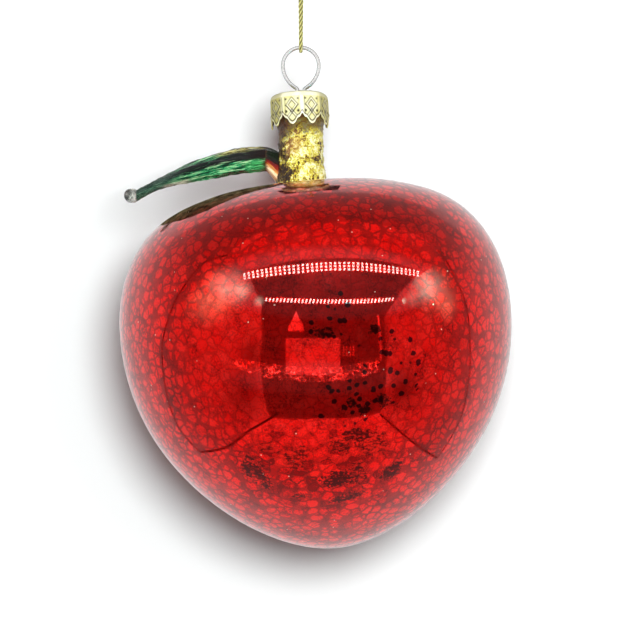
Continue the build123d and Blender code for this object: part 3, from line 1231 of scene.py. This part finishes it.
def green_glass():
    """Pulled green glass with streaks: clear green, painted lighter on its upper side, and near
    black in a painted dark reflection band along its front.
    """
    finish = Finish("green_glass")
    along = finish.attribute("along")
    across = finish.attribute("round_cos")
    up = finish.attribute("round_sin")

    def drawn(length, breadth, scale, detail, roughness):
        """A noise that is drawn out along the blade."""
        point = finish.join(along * length, across * breadth, up * breadth)
        return finish.noise(point, scale, detail, roughness)

    wide = drawn(2.2, 1.6, 1.7, 3.0, 0.6)
    streak = drawn(3.0, 4.2, 2.0, 4.0, 0.65)
    fine = drawn(9.0, 15.0, 1.7, 4.0, 0.7)
    # painted light: the upper side is lighter, and a painted dark reflection band runs along the
    # front
    lit = (side_at(across, up, 70) + wide.sway(0.25)).step(0.80, 0.96)
    deep = (side_at(across, up, 124) + wide.sway(0.22)).step(0.90, 0.985)
    low = (side_at(across, up, 180) + wide.sway(0.3)).step(0.62, 0.92)
    level = 0.46 + streak.sway(1.9) + fine.sway(2.1) + 0.12 * lit - 0.34 * deep + 0.12 * low
    tone = finish.ramp(level, LEAF_TONES)
    cream = low * (0.55 * fine + 0.55 * streak).step(0.585, 0.66)
    tone = finish.blend(0.75 * cream, tone, (0.50, 0.66, 0.36))
    smoky = finish.blend(fine.step(0.45, 0.62), (0.001, 0.008, 0.006), (0.11, 0.20, 0.15))
    tone = finish.blend(0.85 * along.step(0.60, 0.80), tone, smoky)
    pale = along.step(0.54, 0.62) * (1 - along.step(0.74, 0.82))
    pale = pale * side_at(across, up, 205).step(0.90, 0.98)
    fawn = finish.blend(fine.step(0.4, 0.6), (0.10, 0.09, 0.06), (0.60, 0.54, 0.42))
    tone = finish.blend(0.8 * pale, tone, fawn)
    ridge = (side_at(across, up, 78) + fine.sway(0.10)).step(0.88, 0.97)
    gilt = ridge * (1 - (along + 0.2 * wide).step(0.40, 0.54))
    gilt = gilt * (0.5 * fine + 0.5 * streak).step(0.44, 0.51)
    gold = finish.blend(fine.step(0.5, 0.62), (0.46, 0.34, 0.03), (0.92, 0.84, 0.42))
    tone = finish.blend(0.9 * gilt, tone, gold)
    root = 1 - (along + streak.sway(0.3)).step(0.06, 0.20)
    root = root * side_at(across, up, 190).step(0.60, 0.9)
    tone = finish.blend(0.7 * root * fine.step(0.40, 0.56), tone, (0.07, 0.46, 0.13))
    seam = 1 - (along + fine.sway(0.12) + streak.sway(0.08)).step(0.0, 0.04)
    tone = finish.blend(0.8 * seam, tone, (0.04, 0.014, 0.005))
    # painted dark reflection: near black along the front, towards the root
    painted_dark_band = (side_at(across, up, 118) + streak.sway(0.4)).step(0.84, 0.96)
    tone = finish.blend(0.9 * painted_dark_band * (1 - along.step(0.04, 0.34)), tone, (0.008, 0.003, 0.003))
    return finish.surface(
        {
            "Base Color": tone,
            "Roughness": 0.14 + 0.12 * fine,
            "Specular IOR Level": 0.15,
            "Coat Weight": 0.25,
            "Coat Roughness": 0.03,
            "Normal": finish.bump(0.6 * fine + 0.6 * streak, 0.00025),
        }
    )


def make_root(amber):
    """The web between the blade and the stem, spreading down to the shoulder."""
    start = leaf_ring(0.0, LEAF_SIDES)
    rings = []
    for j in range(ROOT_ROWS):
        share = j / (ROOT_ROWS - 1)
        x = -LEAF_REACH + (LEAF_REACH - BORE_RADIUS - ROOT_SINK) * share
        flare = share**ROOT_FLARE
        ring = []
        for k, (_, y0, z0) in enumerate(start):
            angle = TURN * k / LEAF_SIDES
            groove = 1 + 0.05 * math.cos(11 * angle + 2 * share) * math.sin(math.pi * share)
            y1 = ROOT_WIDTH / 2 * math.cos(angle + LEAF_ROLL) * groove
            rise = ROOT_HEIGHT / 2 * math.sin(angle + LEAF_ROLL) * groove
            z1 = LEAF_HEIGHT - ROOT_DROP + rise
            ring.append((x, y0 + (y1 - y0) * flare, z0 + (z1 - z0) * flare))
        rings.append(ring)
    marks = ring_marks(ROOT_ROWS)
    piece = new_piece("leaf_foot", rings_mesh(rings), amber, "glass", marks)
    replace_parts(piece, "leaf_root")


def amber_glass():
    """Near black, dark red, amber and cream glass, drawn out from the blade to the shoulder."""
    finish = Finish("amber_glass")
    along = finish.attribute("along")
    across = finish.attribute("round_cos")
    up = finish.attribute("round_sin")
    streak = finish.noise(finish.join(along * 1.3, across * 8.0, up * 8.0), 1.5, 4.0, 0.7)
    lower = 0.5 + 0.5 * side_at(across, up, 238)
    tone = finish.ramp(lower + 0.12 * (along - 0.5) + streak.sway(0.42), ROOT_TONES)
    start = 1 - (along + streak.sway(0.9)).step(0.02, 0.22)
    seam = finish.blend(streak.step(0.42, 0.60), (0.004, 0.012, 0.006), (0.10, 0.030, 0.012))
    tone = finish.blend(0.9 * start, tone, seam)
    end = (along + streak.sway(0.2)).step(0.84, 0.97)
    tone = finish.blend(0.85 * end, tone, (0.020, 0.006, 0.004))
    return finish.surface(
        {
            "Base Color": tone,
            "Roughness": 0.22,
            "Specular IOR Level": 0.25,
            "Coat Weight": 0.4,
            "Coat Roughness": 0.03,
            "Normal": finish.bump(streak, 0.0002),
        }
    )


def make_tip(clear):
    """A clear drop, pinched where it was cut from the rod."""
    end = leaf_ring(1.0, TIP_SIDES, grooved=False)
    middle = sum((Vector(p) for p in end), Vector()) / len(end)
    shape = along_points([(s * TIP_LENGTH, r * TIP_RADIUS) for s, r in TIP_SHARES])
    rings = []
    for j in range(TIP_ROWS):
        away, radius = shape(j / TIP_ROWS)
        ring = []
        for k in range(TIP_SIDES):
            angle = TURN * k / TIP_SIDES
            dent = 1 + 0.05 * math.cos(2 * angle + 1) + 0.03 * math.cos(5 * angle)
            across = math.cos(angle) * radius * dent
            up = math.sin(angle) * radius * dent
            ring.append(tuple(middle + Vector((-away, across, up))))
        rings.append(ring)
    piece = new_piece("leaf_drop", rings_mesh(rings), clear, "glass")
    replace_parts(piece, "leaf_tip")


def clear_glass():
    """Clear glass, painted dark at its cut end as shade and cream towards the blade as a highlight.
    """
    finish = Finish("clear_glass")
    place = finish.place()
    cloud = finish.noise(place, 1.1, 3.0)
    x, _, _ = finish.split(place)
    # painted shade at the cut end, and a painted highlight towards the blade
    painted_light_share = (x + 35.5 + cloud.sway(5.0)).step(-0.9, 0.9)
    return finish.surface(
        {
            "Base Color": finish.blend(painted_light_share, (0.02, 0.03, 0.025), (0.98, 0.97, 0.88)),
            "Roughness": 0.03 + 0.05 * cloud,
            "IOR": 1.5,
            "Transmission Weight": 0.92,
            "Normal": finish.bump(cloud, 0.0002),
        }
    )


# Studio

HOT_FALL = 1.6          # how fast a brighter spot falls off
LACE_SCALE = 0.55
CARD_MIDDLE = (3, 0, -75)   # of the apple, which the ribbons of light face
LAMP_ROW_START = 0.06   # of the way from a lamp strip's upper to its lower line
LAMP_ROW_SHARE = 0.82

# The tent that the apple mirrors, as places that its reflections come from
LEFT_SEAM = (
    (-28.6, -42.9, -46.5), (-36.0, -37.7, -50.1), (-42.8, -35.2, -59.9), (-47.6, -30.0, -73.4),
    (-48.4, -25.8, -81.6), (-47.5, -23.4, -89.4), (-44.9, -19.8, -98.4), (-40.4, -16.9, -107.1),
    (-34.5, -18.2, -114.2), (-27.7, -31.6, -115.4), (-21.2, -43.2, -111.5), (-11.3, -52.3, -106.6),
)
RIGHT_SEAM = (
    (45.2, -30.9, -47.5), (51.3, -30.0, -58.6), (54.4, -27.3, -68.2), (55.0, -25.1, -81.1),
    (53.2, -21.1, -93.5), (49.4, -16.5, -103.8), (41.7, -14.2, -114.8), (36.4, -32.8, -113.1),
    (27.4, -48.1, -106.3),
)
LEFT_FLARE = (
    (-42.3, -26.9, -51.4), (-29.3, -40.9, -45.4), (-17.6, -57.8, -58.8), (-16.1, -60.0, -65.1),
    (-20.0, -59.2, -74.0), (-30.2, -52.9, -78.8), (-43.5, -38.1, -76.9), (-46.4, -31.1, -66.0),
)
RIGHT_FLARE = (
    (36.3, -52.3, -65.6), (40.2, -46.1, -57.2), (46.7, -33.6, -52.0), (52.8, -26.7, -59.6),
    (54.9, -26.7, -71.5), (48.4, -40.3, -78.2), (38.5, -51.4, -72.3),
)
CEILING = (
    (-209, -131, 128), (-164, -110, 174), (-94, -99, 211), (29, -99, 226), (151, -74, 196),
    (224, -42, 149), (265, -33, 103), (263, -147, 50), (160, -221, 106), (41, -258, 123),
    (-68, -256, 116), (-180, -227, 71),
)
LEFT_WALL = (
    (-209, -131, 128), (-252, -88, 97), (-293, -70, 23), (-314, -28, -70), (-310, 7, -118),
    (-299, 27, -162), (-276, 54, -208), (-244, 76, -251), (-214, 65, -292), (-194, -43, -323),
    (-162, -143, -314), (-94, -227, -289), (-125, -288, -169), (-147, -291, -39), (-174, -242, 55),
)
RIGHT_WALL = (
    (265, -33, 103), (304, -28, 24), (318, -6, -38), (317, 12, -113), (296, 43, -180),
    (263, 77, -231), (217, 92, -285), (215, -55, -309), (165, -194, -281), (171, -267, -165),
    (194, -264, -40), (247, -182, 39),
)
OPENING = (
    (-178, -211, 94), (-68, -248, 126), (41, -249, 133), (158, -211, 119), (259, -134, 69),
    (234, -215, 7), (194, -266, -66), (175, -186, -279), (13, -234, -304), (-139, -196, -293),
    (-158, -283, -119), (-147, -289, -27),
)
UPPER_TOP = (
    (-24.7, -51.7, -53.7), (-14.3, -55.3, -50.6), (-2.9, -57.3, -49.0), (8.7, -57.0, -48.3),
    (20.2, -54.7, -48.9), (31.3, -50.3, -51.2), (41.5, -43.1, -54.4),
)
UPPER_LOW = (
    (-24.5, -53.5, -57.2), (-14.5, -57.8, -55.6), (-2.9, -60.0, -54.3), (8.9, -59.7, -53.3),
    (20.5, -57.2, -53.7), (31.6, -52.2, -55.2), (41.8, -44.5, -57.3),
)
LOWER_TOP = (
    (-16.9, -59.6, -64.3), (-6.8, -62.5, -64.5), (5.1, -63.5, -64.8), (17.0, -61.7, -65.0),
    (26.5, -58.2, -64.9), (33.5, -54.2, -64.6),
)
LOWER_LOW = (
    (-16.9, -59.8, -65.6), (-6.8, -62.8, -66.2), (5.1, -63.7, -66.6), (17.0, -62.0, -66.7),
    (26.6, -58.5, -66.5), (33.5, -54.4, -65.8),
)
TABLE_BLOCK = (
    (-9.0, -64.7, -80.2), (13.5, -65.1, -80.0), (13.3, -62.1, -93.8), (-9.0, -61.7, -93.9),
)
TABLE_EDGE = (
    (-27.2, -53.5, -87.0), (-15.4, -59.0, -89.4), (-2.9, -61.7, -90.6), (12.9, -61.2, -90.5),
    (27.5, -57.1, -86.9), (28.1, -55.4, -91.9), (12.8, -59.5, -95.5), (-2.9, -60.0, -95.6),
    (-17.6, -56.5, -94.0), (-27.9, -52.0, -90.2),
)
BELL = (
    (-4.4, -63.6, -69.6), (-3.2, -63.9, -72.4), (-1.7, -64.1, -75.4), (-1.3, -64.0, -77.3),
    (-7.6, -63.2, -77.3), (-7.2, -63.3, -75.4), (-5.6, -63.6, -72.4),
)
POST = (
    (27.4, -58.6, -71.2), (28.0, -58.3, -71.2), (28.9, -56.3, -87.6), (28.3, -56.6, -87.6),
)
# Where the apple mirrors the leaf: a dark card there is a painted reflection of it
LEAF_IMAGE_TOP = (
    (-28.5, -7.2, -54.4), (-26.8, -7.8, -53.2), (-24.6, -8.5, -52.0), (-22.1, -9.2, -50.8),
    (-19.1, -9.6, -49.6), (-15.6, -10.0, -48.5), (-11.9, -11.9, -47.7), (-8.2, -13.7, -47.2),
    (-5.4, -14.7, -46.9),
)
LEAF_IMAGE_LOW = (
    (-27.5, -12.6, -54.5), (-25.7, -15.8, -54.0), (-23.5, -19.1, -53.6), (-21.0, -21.2, -52.8),
    (-17.9, -22.3, -51.6), (-14.4, -21.9, -50.2), (-10.9, -20.8, -48.9), (-7.5, -19.7, -47.9),
    (-4.8, -18.0, -47.1),
)
RACK_TOP = (
    (13.8, -62.7, -82.4), (18.9, -61.4, -82.3),
)
RACK_LOW = (
    (13.7, -61.8, -87.2), (18.8, -60.6, -87.1),
)
# Brighter and darker spots of the tent's cards: place, reach and added strength
LEFT_WALL_HOT = (
    ((-225, -165, 0), 125, 0.5),
    ((-165, -243, -148), 85, -0.45),
    ((-178, -186, -226), 115, -0.55),
)
RIGHT_WALL_HOT = (
    ((275, -125, 5), 105, 0.5),
    ((212, -165, -205), 100, -0.50),
    ((180, -268, -90), 70, -0.40),
)
OPENING_HOT = (((30, -270, 60), 130, 0.26),)
LEFT_FLARE_HOT = (
    ((-32.0, -49.8, -62.1), 15, 11.0),
    ((-37.6, -45.2, -67.5), 12, 6.0),
    ((-24.5, -55.0, -62.0), 6, 9.0),
    ((-19.2, -58.9, -65.6), 3.5, 12.0),
)
RIGHT_FLARE_HOT = (
    ((45.8, -41.8, -62.3), 14, 9.0),
    ((49.7, -37.7, -67.9), 9, 4.0),
    ((40.0, -49.5, -65.5), 5, 3.0),
    ((36.5, -52.2, -65.8), 2.5, 12.0),
)
# A light card in front of the wire, and a dark one behind it
WIRE_LIGHT = ((20, -7, -25.5), (-20, -7, -25.5), (-20, -7, -6), (20, -7, -6))
WIRE_DARK = ((-9, 6, -26), (9, 6, -26), (9, 6, -12), (-9, 6, -12))

BACKDROP = ((-125, 52, -215), (135, 52, -215), (135, 52, 60), (-125, 52, 60))
FLOOR = ((-900, -900, -420), (900, -900, -420), (900, 900, -420), (-900, 900, -420))
PALE = (0.96, 0.96, 0.96)
PALE_NEAR_RED = (0.907, 0.96, 0.96)  # a little less red, where the apple's red light falls
AMBIENT = 0.05
KEY_PLACE = (18.7, -230, -52.2)
KEY_AIM = (0.0, 52, -78)
KEY_SIZE = 0.056        # metres
KEY_POWER = 0.86        # watts


def glow(
    name,
    strength,
    hot=(),
    cloudy=0.0,
    grain=0.03,
    tone=(1, 1, 1),
    lace=0.0,
    clear=False,
    one_sided=False,
):
    """A light-giving finish. hot holds (place, reach, added strength) of spots, lace is the
    strength of bright threads on it, and a clear one shows what is behind it."""
    finish = Finish(name)
    place = finish.place()
    clouds = 1.0
    if cloudy:
        clouds = 1 + finish.noise(place, grain, 5.0, 0.65).sway(cloudy)
    level = strength * clouds
    if lace:
        bent = finish.warp(place, finish.noise(place, 0.5, 3.0).output("Color"), 0.9)
        thread = 1 - finish.cells(bent, LACE_SCALE, "DISTANCE_TO_EDGE").step(0.01, 0.055)
        cloth = finish.noise(place, 0.30, 4.0, 0.65).step(0.48, 0.62)
        level = strength * cloth + lace * thread * (0.12 + 0.88 * cloth)
    for spot, reach, extra in hot:
        level = level + extra * finish.near(place, spot, 0.0, reach) ** HOT_FALL * clouds
    emission = {"Color": (*tone, 1.0), "Strength": level}
    light = finish.node("ShaderNodeEmission", sockets=emission)
    if clear or lace:
        through = finish.node("ShaderNodeBsdfTransparent")
        light = finish.node("ShaderNodeAddShader", sockets={0: through, 1: light})
    return finish.done(finish.front_only(light) if one_sided else light)


def card(name, outlines, strength, **look):
    """Flat studio cards of one glow that only mirrors and glass can see."""
    vertices, faces = [], []
    for outline in outlines:
        first = len(vertices)
        count = len(outline)
        vertices += outline
        if count > 4:
            vertices.append(sum((Vector(p) for p in outline), Vector()) / count)
            for i in range(count):
                faces.append((first + count, first + i, first + (i + 1) % count))
        else:
            faces.append(tuple(range(first, first + count)))
    made = mesh_object(name, vertices, faces, glow(name, strength, **look))
    made.visible_camera = False
    made.visible_diffuse = False
    made.visible_shadow = False
    made.visible_transmission = False


def ribbon(line, width):
    """Quads along a line of points, as wide as asked, facing the apple."""
    quads = []
    for a, b in zip(line, line[1:]):
        a, b = Vector(a), Vector(b)
        outwards = (a + b) / 2 - Vector(CARD_MIDDLE)
        across = (b - a).cross(outwards).normalized() * width / 2
        quads.append([a - across, b - across, b + across, a + across])
    return quads


def lamps_between(top, low, columns, rows, fill, tall=0.68, lean=0.0):
    """Small lamps in rows between two lines of points. fill and tall are their shares of a
    column and a row, and lean is how far their tops lean along the lines."""
    top_at = along_points(top)
    low_at = along_points(low)
    quads = []
    for i in range(columns):
        u0, u1 = (i + 0.5 - fill / 2) / columns, (i + 0.5 + fill / 2) / columns
        for j in range(rows):
            v0 = LAMP_ROW_START + LAMP_ROW_SHARE * (j + 0.5 - tall / 2) / rows
            v1 = LAMP_ROW_START + LAMP_ROW_SHARE * (j + 0.5 + tall / 2) / rows
            quad = []
            for u, v in ((u0 + lean, v0), (u1 + lean, v0), (u1, v1), (u0, v1)):
                quad.append(Vector(top_at(u)) * (1 - v) + Vector(low_at(u)) * v)
            quads.append(quad)
    return quads


def make_light_tent():
    """A light tent as the apple mirrors it: walls, roof, two rows of lamps and the open front."""
    card("tent_left", [LEFT_WALL], 0.70, hot=LEFT_WALL_HOT, cloudy=0.7)
    card("tent_right", [RIGHT_WALL], 0.68, hot=RIGHT_WALL_HOT, cloudy=0.7)
    card("tent_roof", [CEILING], 0.80, cloudy=0.7, tone=(1.0, 0.80, 0.80))
    card("tent_front", [OPENING], 0.22, hot=OPENING_HOT, cloudy=1.2)
    seams = ribbon(LEFT_SEAM, width=0.9) + ribbon(RIGHT_SEAM, width=0.7)
    card("tent_seams", seams, 0.07)
    flare = {"cloudy": 2.6, "grain": 0.22, "tone": (0.05, 1.0, 0.78), "clear": True}
    card("left_flare", [LEFT_FLARE], 0.0, hot=LEFT_FLARE_HOT, **flare)
    card("right_flare", [RIGHT_FLARE], 0.0, hot=RIGHT_FLARE_HOT, **flare)
    lamps = lamps_between(UPPER_TOP, UPPER_LOW, columns=40, rows=3, fill=0.46)
    lower = {"columns": 36, "rows": 1, "fill": 0.42, "tall": 1.2, "lean": 0.008}
    lamps += lamps_between(LOWER_TOP, LOWER_LOW, **lower)
    # the red lining mirrors red so well that these lights have almost none
    card("tent_lamps", lamps, 25.0, tone=(0.17, 1.0, 0.96))
    card("table_block", [TABLE_BLOCK], 0.80, cloudy=1.0, grain=0.12)
    card("table_edge", [TABLE_EDGE], 0.25, tone=(0.80, 0.75, 0.65), lace=8.0)
    rack = lamps_between(RACK_TOP, RACK_LOW, columns=4, rows=4, fill=0.35)
    card("small_things", [BELL, POST] + rack, 1.25)
    card("wire_light", [WIRE_LIGHT], 1.0, one_sided=True)
    card("wire_dark", [WIRE_DARK], 0.04, one_sided=True)
    # a dark card that only mirrors see: a painted reflection of the leaf on the apple's shoulder
    painted_leaf_reflection = []
    for i in range(len(LEAF_IMAGE_TOP) - 1):
        painted_leaf_reflection.append([*LEAF_IMAGE_TOP[i : i + 2], *LEAF_IMAGE_LOW[i : i + 2][::-1]])
    card("leaf_image", painted_leaf_reflection, 0.10, cloudy=7.5, grain=0.6, tone=(0.9, 0.9, 0.45))


def white_board(name, corners, seen, mirrored):
    """A pale board that catches the shadow, and that can't be seen from behind."""
    finish = Finish(name)
    path = finish.node("ShaderNodeLightPath", out="Is Camera Ray")
    mirror = path.output("Is Glossy Ray")
    looked_at = finish.math("MAXIMUM", path, path.output("Is Transmission Ray"))
    away = 1 - finish.near(finish.place(), (-5.0, 52.0, -80.0), 50.0, 96.0)
    paint = {"Color": finish.blend(away, PALE_NEAR_RED, PALE)}
    plain = finish.node("ShaderNodeBsdfDiffuse", sockets=paint)
    bright = (seen + 0.27 * away) * looked_at
    lift = finish.node("ShaderNodeEmission", sockets={"Strength": bright})
    lit = finish.node("ShaderNodeAddShader", sockets={0: plain, 1: lift})
    shine = finish.node("ShaderNodeEmission", sockets={"Strength": mirrored})
    front = finish.node("ShaderNodeMixShader", sockets={0: mirror, 1: lit, 2: shine})
    pale = finish.done(finish.front_only(front))
    board = mesh_object(name, corners, [(0, 1, 2, 3)], pale)


def make_world():
    """Even pale air, white to the camera and a little darker above to what mirrors it."""
    world = bpy.data.worlds.new("studio")
    bpy.context.scene.world = world
    world.use_nodes = True
    bench = Bench(world.node_tree)
    path = bench.node("ShaderNodeLightPath", out="Is Camera Ray")
    seen = bench.math("MAXIMUM", path, path.output("Is Transmission Ray"))
    mirror = path.output("Is Glossy Ray")
    _, _, up = bench.split(bench.node("ShaderNodeTexCoord", out="Generated"))
    sky = 0.88 - 0.42 * up.step(0.15, 0.75)
    strength = AMBIENT + seen * (1 - AMBIENT) + mirror * (sky - AMBIENT)
    light = {"Color": (1, 1, 1, 1), "Strength": strength}
    background = bench.node("ShaderNodeBackground", sockets=light)
    bench.node("ShaderNodeOutputWorld", sockets={"Surface": background})


def make_key_lamp():
    """The one lamp, a small soft disc that mirrors don't show."""
    data = bpy.data.lights.new("key", "AREA")
    data.shape = "DISK"
    data.size = KEY_SIZE
    data.energy = KEY_POWER
    made = made_object("key", data)
    made.location = Vector(KEY_PLACE) * MM
    aim = Vector(KEY_AIM) - Vector(KEY_PLACE)
    made.rotation_euler = aim.to_track_quat("-Z", "Y").to_euler()
    made.visible_glossy = False


# Making

make_camera()
gold = thread_metal()
thread, thread_line = make_thread(gold)
tie = make_knot(gold)
make_bulb(crackle_glass())
make_stem(foil_glass())
make_cap(champagne_metal(), shaded_cap_inside())
make_leaf(green_glass())
make_root(amber_glass())
make_tip(clear_glass())
dress_wire(spring_wire())
make_world()
make_light_tent()
white_board("backdrop", BACKDROP, seen=0.03, mirrored=0.78)
white_board("floor", FLOOR, seen=0.15, mirrored=0.88)
make_key_lamp()

bpy.context.scene.view_settings.view_transform = "Standard"
